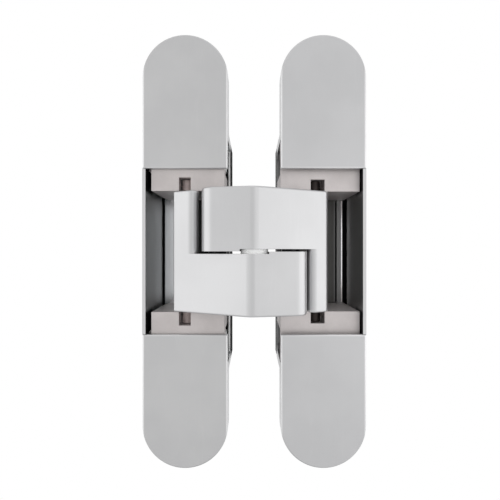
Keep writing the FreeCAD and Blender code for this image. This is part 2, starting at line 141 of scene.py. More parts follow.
class HingeFinishes(PropertyGroup):
    """Colours and roughness of the finishes."""

    coat_colour: colour_property(
        "Satin coat", "Colour of the coat on the frame side's caps", (0.535, 0.535, 0.538))
    coat_shade: colour_property(
        "Coat shade", "Darker tone in that coat's soft patches", (0.51, 0.51, 0.515))
    # Painted light: the door side's caps carry the frame side's coat, made a little lighter and bluer
    # for the light on that side
    door_lit_coat: colour_property(
        "Door side coat, painted lighter", "Colour of the coat on the door side's caps", (0.557, 0.557, 0.564))
    door_lit_coat_shade: colour_property(
        "Door coat shade", "Darker tone in that coat's soft patches", (0.535, 0.535, 0.542))
    # Painted highlight: lighter coat along the caps' long edges and straight end, for the light they
    # catch
    edge_highlight: colour_property(
        "Painted edge highlight", "Colour of the coat along the caps' straight edges", (0.72, 0.72, 0.725))
    # Painted highlight: the housings carry the caps' coat, made lighter on the rims
    rim_highlight: colour_property(
        "Rim coat", "Colour of the coat on the housings", (0.61, 0.61, 0.615))
    arm_colour: colour_property(
        "Arm coat", "Colour of the coat on the two arms", (0.552, 0.552, 0.558))
    frame_cast: colour_property(
        "Frame side casting", "Colour of the frame side's zinc castings", (0.585, 0.548, 0.54))
    # Painted light: the door carriage is the same zinc casting as the frame side's, made lighter for the
    # light on that side
    door_lit_cast: colour_property(
        "Door side casting", "Colour of the door carriage's casting", (0.645, 0.605, 0.598))
    frame_wall: colour_property(
        "Frame side wall", "Colour of the frame housing's bare walls", (0.62, 0.65, 0.65))
    # Painted light and shade: the door housing's walls are the same bare zinc as the frame housing's,
    # made darker near the front and lighter deep near the web, for how the light falls into that pocket
    door_wall_shaded: colour_property(
        "Door side wall", "Colour of the door housing's bare walls", (0.33, 0.33, 0.33))
    door_wall_deep_lit: colour_property(
        "Door side wall, deep", "Colour of those walls near the web", (0.85, 0.85, 0.84))
    # Painted shade: the walls beside the end blocks are made near black where shade falls in the narrow
    # gaps
    end_wall_shade: colour_property(
        "Pocket's ends", "Painted shade on the walls beside the blocks", (0.010, 0.010, 0.011))
    # Painted highlight and shadow: the land is made near white and the lines beside it near black
    land_highlight: colour_property(
        "Milled land", "Colour of the frame housing's land in the gap", (0.93, 0.93, 0.93))
    land_shadow: colour_property(
        "Land's borders", "Colour of the dark lines beside that land", (0.06, 0.06, 0.06))
    web_edge: colour_property(
        "Frame side web's edge", "Colour of the frame web's milled edge", (0.74, 0.74, 0.76))
    # Painted shade: the frame web is made near black behind the arms, where shade falls
    web_shade: colour_property(
        "Web's painted shade", "Colour of the frame web behind the arms", (0.045, 0.045, 0.045))
    # Painted shadow: the door web is darker near the knuckle, where its shadow falls
    door_web_shadow: colour_property(
        "Door side web", "Colour of the door carriage's web", (0.095, 0.093, 0.09))
    door_web_edge: colour_property(
        "Door side web's edge", "Colour of that web beyond its groove", (0.30, 0.30, 0.30))
    frame_slider: colour_property(
        "Frame slider pin", "Colour of the burnished frame pin", (0.82, 0.74, 0.72))
    # Painted shade: the door pin is the same pin, darkened for the shade in its notch
    door_slider_shaded: colour_property(
        "Door slider pin", "Colour of the door pin, darkened as painted shade", (0.05, 0.042, 0.04))
    steel_colour: colour_property(
        "Ground steel", "Colour of the pins", (0.85, 0.85, 0.84))
    screw_colour: colour_property(
        "Plated screw", "Colour of the plated screws and rings", (0.52, 0.525, 0.53))
    strip_colour: colour_property(
        "Wear strip", "Colour of the polished strip", (0.93, 0.93, 0.93))
    tray_colour: colour_property(
        "Tray plastic", "Colour of the rear trays", (0.018, 0.018, 0.020))
    tray_back: colour_property(
        "Tray's back", "Colour of the raised frame on the trays' backs", (0.042, 0.042, 0.045))
    sleeve_colour: colour_property(
        "Sleeve plastic", "Colour of the bushes and sleeves", (0.035, 0.036, 0.04))
    washer_colour: colour_property(
        "Washer plastic", "Colour of the pale washers", (0.96, 0.96, 0.95))
    coat_roughness: share_property("Coat roughness", "Roughness of the satin coat", 0.42)
    arm_roughness: share_property("Arm roughness", "Roughness of the arms' coat", 0.34)
    cast_roughness: share_property("Casting roughness", "Roughness of the bare castings", 0.55)
    wall_roughness: share_property("Wall roughness", "Roughness of the pockets' bare walls", 0.32)
    grain: length_property(
        "Grain height", "Height of the fine grain on coated metal", 0.012 * MM, 0, 0.5 * MM)


class HingeScrews(PropertyGroup):
    """Sizes of the threads and heads that the solids carry as plain shafts."""

    thread_pitch: length_property(
        "Thread pitch", "Travel of one turn of a depth screw", 0.8 * MM, 0.2 * MM, 3 * MM)
    thread_depth: length_property(
        "Thread depth", "Depth of the thread's groove", 0.32 * MM, 0, 1 * MM)
    head_chamfer: length_property(
        "Head chamfer", "Chamfer round a screw's head", 0.2 * MM, 0, 1 * MM)
    around: IntProperty(
        name="Points around", description="Points round a screw", min=24, max=192, default=72)


class HingeStrip(PropertyGroup):
    """Place and sizes of the wear strip on the door carriage's web."""

    place_x: place_property("Place along X", "Middle of the strip", 61.0 * MM)
    place_y: place_property("Place along Y", "Face of the web's land", 23.02 * MM)
    width: length_property("Width", "Width of the strip", 0.64 * MM, 0.1 * MM, 0.75 * MM)
    height: length_property("Height", "Height over the land", 0.3 * MM, 0.05 * MM, 0.4 * MM)
    length: length_property("Length", "Length of the strip", 42.6 * MM, 10 * MM, 42.8 * MM)
    points: IntProperty(
        name="Points", description="Points over its round", min=9, max=64, default=25)


class HingeStudio(PropertyGroup):
    """Camera, floor and lamps."""

    camera_x: place_property("Camera X", "Camera's place along X", 23.7 * MM)
    camera_y: place_property("Camera Y", "Camera's place along Y", -155.9 * MM)
    lens: FloatProperty(
        name="Lens", description="Focal length in millimetres", min=5, max=300, default=30.65)
    floor_drop: length_property(
        "Floor drop", "Height of the hinge's middle over the floor", 0.26, 0.08, 2)
    ambient: FloatProperty(
        name="Ambient", description="Strength of the light from all round", min=0, max=2,
        default=0.55)
    left_power: power_property("Left lamp", "Power of the lamp on the frame side", 1.34)
    right_power: power_property("Right lamp", "Power of the lamp on the door side", 1.62)
    top_power: power_property("Top lamp", "Power of the top lamp", 0.3)
    left_front_power: power_property(
        "Left front lamp", "Power of the front lamp on the frame side", 0.13)
    right_front_power: power_property(
        "Right front lamp", "Power of the front lamp on the door side", 0.30)


# Node helpers


def add(tree, kind, inputs=None, **settings):
    """One shader node. An input's value is a number, a colour or another node's output socket.
    The settings come first, because some of them change the node's sockets."""
    node = tree.nodes.new(kind)
    for key, value in settings.items():
        setattr(node, key, value)
    for key, value in (inputs or {}).items():
        if isinstance(value, bpy.types.NodeSocket):
            tree.links.new(value, node.inputs[key])
        else:
            node.inputs[key].default_value = value
    return node


def math_node(tree, operation, first, second=0.0, clamp=False):
    return add(tree, "ShaderNodeMath", {0: first, 1: second}, operation=operation,
               use_clamp=clamp).outputs[0]


def product(tree, first, second):
    return math_node(tree, "MULTIPLY", first, second)


def difference(tree, first, second):
    return math_node(tree, "SUBTRACT", first, second)


def size_of(tree, value):
    return math_node(tree, "ABSOLUTE", value)


def mixed_colour(tree, factor, first, second):
    return add(tree, "ShaderNodeMix", {0: factor, 6: first, 7: second}, data_type="RGBA").outputs[2]


def mixed_value(tree, factor, first, second):
    return add(tree, "ShaderNodeMix", {0: factor, 2: first, 3: second}).outputs[0]


def ramped(tree, value, low, high):
    """Rises smoothly from 0 to 1 as the value goes from low to high."""
    return add(tree, "ShaderNodeMapRange", {"Value": value, "From Min": low, "From Max": high},
               interpolation_type="SMOOTHSTEP").outputs[0]


def scaled_colour(tree, colour, level):
    return add(tree, "ShaderNodeVectorMath", {0: colour, "Scale": level},
               operation="SCALE").outputs[0]


def noise(tree, place, scale, detail, **more):
    return add(tree, "ShaderNodeTexNoise",
               {"Vector": place, "Scale": scale, "Detail": detail, **more}).outputs[0]


def object_place(tree):
    return add(tree, "ShaderNodeTexCoord").outputs["Object"]


def object_parts(tree):
    """The X, Y and Z of a point."""
    return add(tree, "ShaderNodeSeparateXYZ", {0: object_place(tree)}).outputs


def place_along(tree, axis):
    return add(tree, "ShaderNodeVectorMath", {0: object_place(tree), 1: axis},
               operation="DOT_PRODUCT").outputs["Value"]


def from_middle_line(tree, x, given):
    """| |x - Middle| - Spacing |, the distance from the middle line of the side that x is on, where
    Middle lies between the two sides and Spacing is half the distance between them."""
    aside = size_of(tree, difference(tree, x, given["Middle"]))
    return size_of(tree, difference(tree, aside, given["Spacing"]))


# Shared node groups


def new_group(name, inputs, outputs):
    """Empty node group: inputs as (name, kind, default), outputs as (name, kind)."""
    tree = bpy.data.node_groups.new(name, "ShaderNodeTree")
    for label, kind, default in inputs:
        socket = tree.interface.new_socket(name=label, in_out="INPUT",
                                           socket_type="NodeSocket" + kind)
        socket.default_value = default
    for label, kind in outputs:
        tree.interface.new_socket(name=label, in_out="OUTPUT", socket_type="NodeSocket" + kind)
    given = tree.nodes.new("NodeGroupInput").outputs
    return tree, given, tree.nodes.new("NodeGroupOutput").inputs


def cast_grain_group():
    """Soft patches of two tones with fine grain: noise at a wide scale mixes the tones, noise at a
    fine one shades them and gives the height."""
    tree, given, result = new_group(
        "Cast grain",
        [("Tone", "Color", (0.6, 0.6, 0.6, 1)), ("Shade", "Color", (0.5, 0.5, 0.5, 1)),
         ("Patch Scale", "Float", 60.0), ("Grain Scale", "Float", 3000.0),
         ("Grain Contrast", "Float", 0.05), ("Roughness", "Float", 0.4),
         ("Roughness Spread", "Float", 0.08)],
        [("Colour", "Color"), ("Roughness", "Float"), ("Height", "Float")])
    place = object_place(tree)
    patches = noise(tree, place, given["Patch Scale"], 3.0, Roughness=0.55)
    grain = noise(tree, place, given["Grain Scale"], 2.0, Roughness=0.6)
    tone = mixed_colour(tree, ramped(tree, patches, 0.35, 0.65), given["Tone"], given["Shade"])
    swing = product(tree, difference(tree, grain, 0.5), given["Grain Contrast"])
    level = math_node(tree, "ADD", swing, 1.0)
    tree.links.new(scaled_colour(tree, tone, level), result["Colour"])
    spread = product(tree, difference(tree, patches, 0.5), given["Roughness Spread"])
    rough = math_node(tree, "ADD", given["Roughness"], spread, clamp=True)
    tree.links.new(rough, result["Roughness"])
    tree.links.new(grain, result["Height"])
    return tree


def band_group():
    """Mask that rises from 0 to 1 between two places along an axis."""
    tree, given, result = new_group(
        "Band", [("Axis", "Vector", Y_AXIS), ("Start", "Float", 0.0), ("End", "Float", 0.01)],
        [("Mask", "Float")])
    along = place_along(tree, given["Axis"])
    tree.links.new(ramped(tree, along, given["Start"], given["End"]), result["Mask"])
    return tree


def edge_and_foot_group():
    """Mask along edges: rises with the distance from the middle line of the side, and takes in
    what lies nearer than Foot to the plane z = 0."""
    tree, given, result = new_group(
        "Rubbed edges",
        [("Middle", "Float", 0.0), ("Spacing", "Float", 0.02), ("Start", "Float", 0.0),
         ("End", "Float", 0.01), ("Foot", "Float", 0.0), ("Foot Share", "Float", 1.0),
         ("Blur", "Float", 0.00015)],
        [("Mask", "Float")])
    parts = object_parts(tree)
    reach = from_middle_line(tree, parts["X"], given)
    long_edges = ramped(tree, reach, given["Start"], given["End"])
    near = difference(tree, given["Foot"], given["Blur"])
    past_foot = ramped(tree, size_of(tree, parts["Z"]), near, given["Foot"])
    foot = product(tree, difference(tree, 1.0, past_foot), given["Foot Share"])
    tree.links.new(math_node(tree, "MAXIMUM", long_edges, foot), result["Mask"])
    return tree


def outer_skin_group():
    """Mask on a housing's outside: 1 on the long sides, where the distance from the middle line
    reaches Half Width, and where |z| reaches Half Height, which takes in the ends and the flange
    beyond them."""
    tree, given, result = new_group(
        "Outer skin",
        [("Middle", "Float", 0.0), ("Spacing", "Float", 0.02), ("Half Width", "Float", 0.015),
         ("Half Height", "Float", 0.04), ("Blur", "Float", 0.00004)],
        [("Mask", "Float")])
    parts = object_parts(tree)
    reach = from_middle_line(tree, parts["X"], given)
    height = size_of(tree, parts["Z"])
    masks = []
    for value, limit in ((reach, given["Half Width"]), (height, given["Half Height"])):
        near = difference(tree, limit, given["Blur"])
        masks.append(ramped(tree, value, difference(tree, near, given["Blur"]), near))
    tree.links.new(math_node(tree, "MAXIMUM", *masks), result["Mask"])
    return tree


def turning_lines_group():
    """Tool lines of a turned piece: a sine along the axis, broken up by noise."""
    tree, given, result = new_group(
        "Turning lines",
        [("Axis", "Vector", Z_AXIS), ("Lines per Metre", "Float", 6000.0),
         ("Break-up", "Float", 0.5)],
        [("Height", "Float"), ("Mask", "Float")])
    along = place_along(tree, given["Axis"])
    shake = noise(tree, object_place(tree), 900.0, 2.0)
    turns = product(tree, along, product(tree, given["Lines per Metre"], 2 * math.pi))
    shifted = math_node(tree, "ADD", turns, product(tree, shake, given["Break-up"]))
    wave = math_node(tree, "SINE", shifted)
    tree.links.new(wave, result["Height"])
    tree.links.new(math_node(tree, "MULTIPLY_ADD", wave, 0.5, clamp=True), result["Mask"])
    return tree


def moulded_grain_group():
    """Spark-eroded plastic: cells of a Voronoi pattern softened by noise."""
    tree, given, result = new_group(
        "Moulded grain",
        [("Tone", "Color", (0.02, 0.02, 0.02, 1)), ("Cell Scale", "Float", 2600.0),
         ("Lift", "Float", 0.35), ("Roughness", "Float", 0.5)],
        [("Colour", "Color"), ("Roughness", "Float"), ("Height", "Float")])
    place = object_place(tree)
    cells = add(tree, "ShaderNodeTexVoronoi",
                {"Vector": place, "Scale": given["Cell Scale"]}).outputs["Distance"]
    cloud = noise(tree, place, 140.0, 4.0)
    height = math_node(tree, "ADD", cells, product(tree, cloud, 0.3))
    level = math_node(tree, "ADD", product(tree, cloud, given["Lift"]), 1.0)
    rough = math_node(tree, "ADD", given["Roughness"], product(tree, cloud, 0.15))
    tree.links.new(scaled_colour(tree, given["Tone"], level), result["Colour"])
    tree.links.new(rough, result["Roughness"])
    tree.links.new(height, result["Height"])
    return tree


def handling_marks_group():
    """Faint hairlines of handling: stretched noise cut to thin lines."""
    tree, given, result = new_group(
        "Handling marks", [("Scale", "Float", 300.0), ("Amount", "Float", 0.2)],
        [("Mask", "Float")])
    stretched = add(tree, "ShaderNodeMapping",
                    {"Vector": object_place(tree), "Scale": (1.0, 1.0, 0.06),
                     "Rotation": (0.0, 0.35, 0.0)}).outputs[0]
    streaks = noise(tree, stretched, given["Scale"], 1.0)
    line = size_of(tree, difference(tree, streaks, 0.5))
    mask = difference(tree, 1.0, ramped(tree, line, 0.0, 0.012))
    tree.links.new(product(tree, mask, given["Amount"]), result["Mask"])
    return tree


GROUP_MAKERS = {
    "grain": cast_grain_group,
    "band": band_group,
    "edges": edge_and_foot_group,
    "skin": outer_skin_group,
    "lines": turning_lines_group,
    "moulded": moulded_grain_group,
    "marks": handling_marks_group,
}
groups = {}


def use_group(tree, name, inputs):
    """Outputs of a shared node group, which is built the first time it is asked for."""
    if name not in groups:
        groups[name] = GROUP_MAKERS[name]()
    return add(tree, "ShaderNodeGroup", inputs, node_tree=groups[name]).outputs


def band(tree, span, axis=Y_AXIS):
    return use_group(tree, "band", {"Axis": axis, "Start": span[0], "End": span[1]})["Mask"]


# Grain of the metal surfaces, as values of the cast grain group
GRAINS = {
    "coat": {"Patch Scale": 45.0, "Grain Scale": 3200.0, "Grain Contrast": 0.05,
             "Roughness Spread": 0.06},
    "casting": {"Patch Scale": 110.0, "Grain Scale": 2100.0, "Grain Contrast": 0.10,
                "Roughness Spread": 0.12},
    "web": {"Patch Scale": 60.0, "Grain Scale": 2600.0, "Grain Contrast": 0.06,
            "Roughness Spread": 0.05},
    "wall": {"Patch Scale": 60.0, "Grain Scale": 2400.0, "Grain Contrast": 0.10,
             "Roughness Spread": 0.05},
    "steel": {"Patch Scale": 300.0, "Grain Scale": 4000.0, "Grain Contrast": 0.06,
              "Roughness Spread": 0.08},
}


def grained(tree, kind, tone, shade, roughness):
    return use_group(tree, "grain",
                     dict(GRAINS[kind], Tone=tone, Shade=shade, Roughness=roughness))


def rgba(colour, level=1.0):
    """A colour at a level, with the alpha that the sockets ask for."""
    return (level * colour[0], level * colour[1], level * colour[2], 1.0)


# Materials


def new_material(name, metallic):
    material = bpy.data.materials.new(name)
    material.use_nodes = True
    tree = material.node_tree
    shader = tree.nodes["Principled BSDF"]
    shader.inputs["Metallic"].default_value = metallic
    return material, tree, shader


def finish(tree, shader, colour, roughness, height, distance, strength):
    """Links a colour, a roughness and a bump of the given height to the shader."""
    tree.links.new(colour, shader.inputs["Base Color"])
    tree.links.new(roughness, shader.inputs["Roughness"])
    node = add(tree, "ShaderNodeBump",
               {"Height": height, "Distance": distance, "Strength": strength})
    tree.links.new(node.outputs[0], shader.inputs["Normal"])


def satin_material(name, tone, shade, roughness, finishes, edges=None):
    """Satin coat on cast zinc: soft patches, fine grain and a few hairlines, and where edges are given,
    a painted highlight: the coat is made lighter along those edges for the light they catch."""
    material, tree, shader = new_material(name, 0.85)
    coat = grained(tree, "coat", rgba(tone), rgba(shade), roughness)
    marks = use_group(tree, "marks", {"Scale": 260.0, "Amount": 0.03})
    colour = mixed_colour(tree, marks["Mask"], coat["Colour"], (0.78, 0.78, 0.78, 1))
    # Painted highlight along the caps' edges and straight end
    if edges:
        highlight_mask = use_group(tree, "edges", edges)["Mask"]
        colour = mixed_colour(tree, highlight_mask, colour, rgba(finishes.edge_highlight))
    finish(tree, shader, colour, coat["Roughness"], coat["Height"], finishes.grain, 0.6)
    return material


def casting_material(name, tone, web_tones, web_x, web_roughness, finishes):
    """Bare zinc casting: warmer, duller and coarser than the coat, with brighter milled faces where
    the blocks look towards the arms. The milled web deep in the pocket has two tones that change
    over along X, from the lower X to the higher: on the frame web the higher X is painted shade behind
    the arms, and on the door web the lower X is a painted shadow of the knuckle."""
    material, tree, shader = new_material(name, 0.75)
    face_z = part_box("frame_thrust_washers")[1].z + FACE_REACH
    milled = use_group(tree, "edges", {"Start": 1.0, "End": 2.0, "Foot": face_z,
                                       "Blur": FACE_REACH / 2})["Mask"]
    light = mixed_colour(tree, milled, rgba(tone), rgba(tone, MILLED_TONE))
    shade = mixed_colour(tree, milled, rgba(tone, 0.93), rgba(tone, MILLED_SHADE))
    rough_cast = grained(tree, "casting", light, shade, finishes.cast_roughness)
    web_tone = mixed_colour(tree, band(tree, web_x, X_AXIS), *map(rgba, web_tones))
    web = grained(tree, "web", web_tone, web_tone, web_roughness)
    deep = band(tree, WEB_Y)
    colour = mixed_colour(tree, deep, rough_cast["Colour"], web["Colour"])
    roughness = mixed_value(tree, deep, rough_cast["Roughness"], web["Roughness"])
    finish(tree, shader, colour, roughness, rough_cast["Height"], finishes.grain * 2, 0.8)
    return material


def with_land(tree, colour, finishes):
    """The colour with the frame housing's milled land painted as a highlight, and the painted shadow
    lines beside it.
    """
    near = band(tree, (LAND_Y - 3 * BLUR, LAND_Y - 2 * BLUR))
    past = band(tree, (LAND_Y + 2 * BLUR, LAND_Y + 3 * BLUR))
    lit, shaded = (band(tree, (x - BLUR, x + BLUR), X_AXIS) for x in LAND_X)
    tone = mixed_colour(tree, difference(tree, lit, shaded), rgba(finishes.land_shadow),
                        rgba(finishes.land_highlight))
    border = LAND_X[0] - LAND_BORDER
    beyond = band(tree, (border - BLUR, border), X_AXIS)
    there = product(tree, difference(tree, near, past), beyond)
    return mixed_colour(tree, there, colour, tone)


def housing_material(name, wall_tone, deep_tone, finishes, skin, land=False):
    """Housing: satin coat on the outside and the rims, with a painted highlight on the rims, bare wall
    inside the pocket with another tone deep in it, painted light and shade on the door side, painted
    shade on the walls beside the end blocks, and the milled land with its painted highlight and shadow
    lines if asked for."""
    material, tree, shader = new_material(name, 0.8)
    # Painted highlight: the housing's coat is made lighter than the caps'
    lit_rim_tone = rgba(finishes.rim_highlight)
    coat = grained(tree, "coat", lit_rim_tone, lit_rim_tone, finishes.coat_roughness)
    # Painted light: with the door housing's tones the wall turns lighter deep in the pocket near the web
    sinking = product(tree, band(tree, DEEP_WALL_Y), band(tree, DEEP_WALL_X, X_AXIS))
    tone = mixed_colour(tree, sinking, rgba(wall_tone), rgba(deep_tone))
    shade = mixed_colour(tree, sinking, rgba(wall_tone, 0.95), rgba(deep_tone, 0.95))
    wall = grained(tree, "wall", tone, shade, finishes.wall_roughness)
    within = difference(tree, 1.0, use_group(tree, "skin", skin)["Mask"])
    inside = product(tree, band(tree, WALL_Y), within)
    colour = mixed_colour(tree, inside, coat["Colour"], wall["Colour"])
    # Painted shade: near black, rough walls beside the end blocks
    at_ends = ramped(tree, size_of(tree, object_parts(tree)["Z"]), *END_WALL_Z)
    front = difference(tree, band(tree, END_WALL_FRONT_Y), band(tree, END_WALL_BACK_Y))
    dark = product(tree, product(tree, at_ends, front), within)
    colour = mixed_colour(tree, dark, colour, rgba(finishes.end_wall_shade))
    # Painted highlight and shadow lines on the milled land
    if land:
        colour = with_land(tree, colour, finishes)
    roughness = mixed_value(tree, inside, coat["Roughness"], wall["Roughness"])
    roughness = mixed_value(tree, dark, roughness, END_WALL_ROUGHNESS)
    finish(tree, shader, colour, roughness, wall["Height"], finishes.grain * 1.5, 0.7)
    return material


def turned_material(name, tone, axis, roughness):
    """Turned or ground steel: fine lines across the axis over a clean tone."""
    material, tree, shader = new_material(name, 1.0)
    steel = grained(tree, "steel", rgba(tone), rgba(tone, 0.9), roughness)
    lines = use_group(tree, "lines", {"Axis": axis, "Lines per Metre": 5500.0, "Break-up": 1.5})
    colour = mixed_colour(tree, product(tree, lines["Mask"], 0.12), steel["Colour"],
                          rgba(tone, 0.8))
    finish(tree, shader, colour, steel["Roughness"], lines["Height"], 0.004 * MM, 0.7)
    return material


def plastic_material(name, tone, cells, roughness, grain_height, specular=0.5, raised=None):
    """Moulded plastic with a spark-eroded grain. Where raised is given, as a tone and a place along
    Y, the faces beyond that place have that tone."""
    material, tree, shader = new_material(name, 0.0)
    shader.inputs["Specular IOR Level"].default_value = specular
    tone = rgba(tone)
    if raised:
        raised_tone, start = raised
        beyond = band(tree, (start - BLUR, start + BLUR))
        tone = mixed_colour(tree, beyond, tone, rgba(raised_tone))
    grain = use_group(tree, "moulded", {"Tone": tone, "Cell Scale": cells, "Roughness": roughness})
    finish(tree, shader, grain["Colour"], grain["Roughness"], grain["Height"], grain_height, 0.7)
    return material


def dress(names, material):
    """Puts the material on CAD nodes."""
    for name in names:
        nodes[name].data.materials.clear()
        nodes[name].data.materials.append(material)


def both(template):
    """The name for the frame side and for the door side."""
    return [template.format(side) for side in ("frame", "door")]


class HINGE_OT_castings(Operator):
    """Finish the housings, cover caps, arms and carriages"""

    bl_idname = "hinge.castings"
    bl_label = "Castings"

    def execute(self, context):
        finishes = context.scene.hinge_finishes
        low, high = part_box("frame_upper_cap")
        half = (high.x - low.x) / 2
        middle = (cad_low.x + cad_high.x) / 2
        sides = {"Middle": middle, "Spacing": middle - (low.x + high.x) / 2}
        # The caps' long edges and straight end carry a painted highlight, shown in full at the door
        # side's end
        edges = {**sides, "Start": half - EDGE_REACH, "End": half - EDGE_REACH / 2,
                 "Foot": low.z + FOOT_REACH}
        dress(["frame_upper_cap", "frame_lower_cap"], satin_material(
            "Frame cap coat", finishes.coat_colour, finishes.coat_shade, finishes.coat_roughness,
            finishes, {**edges, "Foot Share": FRAME_FOOT_SHARE}))
        # Painted light: the same coat, lighter and bluer on the door side
        dress(["door_upper_cap", "door_lower_cap"], satin_material(
            "Door cap coat", finishes.door_lit_coat, finishes.door_lit_coat_shade, finishes.coat_roughness,
            finishes, {**edges, "Foot Share": DOOR_FOOT_SHARE}))
        arm_shade = [0.97 * c for c in finishes.arm_colour]
        dress(["lower_arm", "upper_arm"], satin_material(
            "Arm coat", finishes.arm_colour, arm_shade, finishes.arm_roughness, finishes))
        skin = {**sides, "Half Width": half, "Half Height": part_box("frame_rear_tray")[1].z}
        dress(["frame_housing"], housing_material(
            "Frame housing casting", finishes.frame_wall, finishes.frame_wall, finishes, skin,
            land=True))
        # The door housing's walls carry painted shade near the front and painted light deep in
        dress(["door_housing"], housing_material(
            "Door housing casting", finishes.door_wall_shaded, finishes.door_wall_deep_lit, finishes, skin))
        frame_side = ["frame_carriage", "frame_upper_height_slide", "frame_lower_height_slide"]
        # The carriages' webs carry painted shade behind the arms and a painted shadow of the knuckle
        dress(frame_side, casting_material(
            "Frame side casting", finishes.frame_cast, (finishes.web_edge, finishes.web_shade),
            FRAME_WEB_X, 0.20, finishes))
        # The door carriage's casting tone is painted light
        dress(["door_carriage"], casting_material(
            "Door side casting", finishes.door_lit_cast, (finishes.door_web_shadow, finishes.door_web_edge),
            DOOR_WEB_X, 0.40, finishes))
        return {"FINISHED"}


class HINGE_OT_plastics(Operator):
    """Finish the rear trays, sleeves, bushes and washers"""

    bl_idname = "hinge.plastics"
    bl_label = "Plastic pieces"

    def execute(self, context):
        finishes = context.scene.hinge_finishes
        dress(both("{}_rear_tray"), plastic_material(
            "Tray plastic", finishes.tray_colour, cells=2600.0, roughness=0.85,
            grain_height=0.015 * MM, specular=0.03,
            raised=(finishes.tray_back, cad_high.y - TRAY_BACK)))
        dress(both("{}_spacer_sleeve") + ["lower_centre_bush", "upper_centre_bush"],
              plastic_material("Sleeve plastic", finishes.sleeve_colour, cells=4200.0,
                               roughness=0.30, grain_height=0.005 * MM))
        dress(both("{}_thrust_washers") + ["centre_washer"],
              plastic_material("Washer plastic", finishes.washer_colour, cells=4200.0,
                               roughness=0.35, grain_height=0.005 * MM))
        return {"FINISHED"}


class HINGE_OT_pins(Operator):
    """Finish the ground steel pins and the rings"""

    bl_idname = "hinge.pins"
    bl_label = "Pins and rings"

    def execute(self, context):
        finishes = context.scene.hinge_finishes
        for names, label, tone, axis, roughness in (
                (both("{}_pivot_pin") + ["centre_pin"], "Ground pin", finishes.steel_colour,
                 Z_AXIS, 0.22),
                (["frame_slider_pin"], "Burnished pin", finishes.frame_slider, Z_AXIS, 0.85),
                # The door pin's tone is painted shade
                (["door_slider_pin"], "Blackened pin", finishes.door_slider_shaded, Z_AXIS, 0.5),
                (["door_upper_screw_ring", "door_lower_screw_ring"], "Spring ring",
                 finishes.screw_colour, Y_AXIS, 0.30)):
            dress(names, turned_material(label, tone, axis, roughness))
        return {"FINISHED"}


# Pieces


def grid_faces(rows, around):
    """Faces between the rows of a grid of points that closes on itself round each row."""
    i, j = np.meshgrid(np.arange(rows - 1), np.arange(around), indexing="ij")
    k = (j + 1) % around
    faces = np.stack([i * around + j, i * around + k, (i + 1) * around + k, (i + 1) * around + j],
                     axis=-1)
    return faces.reshape(-1, 4).tolist()


def smooth_piece(name, points, faces, sharp_degrees, material):
    """Object at the origin with its place in its mesh, shaded smooth up to the given angle."""
    mesh = bpy.data.meshes.new(name)
    mesh.from_pydata(points.tolist(), [], faces)
    mesh.update()
    mesh.polygons.foreach_set("use_smooth", np.ones(len(mesh.polygons), bool))
    mesh.set_sharp_from_angle(angle=math.radians(sharp_degrees))
    mesh.materials.append(material)
    piece = bpy.data.objects.new(name, mesh)
    bpy.context.scene.collection.objects.link(piece)
    return piece


# Outline of each kind of screw. The heads and shafts of the clamp screws stand just off the slides
# that move under them.
SCREW_SIZES = {
    "clamp": dict(head_r=3.4 * MM, shaft_r=1.95 * MM, head=2.38 * MM, socket_r=1.7 * MM,
                  socket_depth=1.5 * MM),
    "side": dict(head_r=2.7 * MM, shaft_r=1.5 * MM, head=1.4 * MM, socket_r=1.35 * MM,
                 socket_depth=0.9 * MM),
    "depth": dict(head_r=4.2 * MM, shaft_r=2.5 * MM, head=1.2 * MM, socket_r=2.0 * MM,
                  socket_depth=1.7 * MM),
}
# Piece, the node that it replaces, kind of screw and body
SCREWS = (
    ("Height_clamp_screws", "frame_height_clamp_screws", "clamp", "frame_housing_body"),
    ("Side_clamp_screws", "frame_side_clamp_screws", "side", "height_slides"),
    ("Upper_depth_screw", "door_upper_depth_screw", "depth", "upper_depth_screw"),
    ("Lower_depth_screw", "door_lower_depth_screw", "depth", "lower_depth_screw"),
)
ROWS_PER_TURN = 14
FEWEST_ROWS = 40
SOCKET_CONE = 0.3


def screw_profile(head_r, shaft_r, head, socket_r, socket_depth, length, pitch, chamfer):
    """Rows of a screw's outline from the middle of its socket to the middle of its end: place along
    the screw, radius, share of hexagon in the radius, and share of thread."""
    rows = max(int((length - head) / pitch * ROWS_PER_TURN), FEWEST_ROWS)
    lead = 0.5 * pitch
    shaft = np.linspace(head, length - lead, rows)
    table = [(socket_depth + SOCKET_CONE * socket_r, 0.0, 0.0, 0.0),
             (socket_depth, socket_r, 1.0, 0.0),
             (chamfer, socket_r, 1.0, 0.0),
             (0.0, socket_r + chamfer, 0.4, 0.0),
             (0.0, head_r - chamfer, 0.0, 0.0),
             (chamfer, head_r, 0.0, 0.0),
             (head - chamfer, head_r, 0.0, 0.0),
             (head, head_r - chamfer, 0.0, 0.0),
             (head, shaft_r, 0.0, 0.0)]
    table += [(place, shaft_r, 0.0, 1.0) for place in shaft[1:]]
    table += [(length, shaft_r - lead, 0.0, 0.0), (length, 0.0, 0.0, 0.0)]
    return np.array(table)


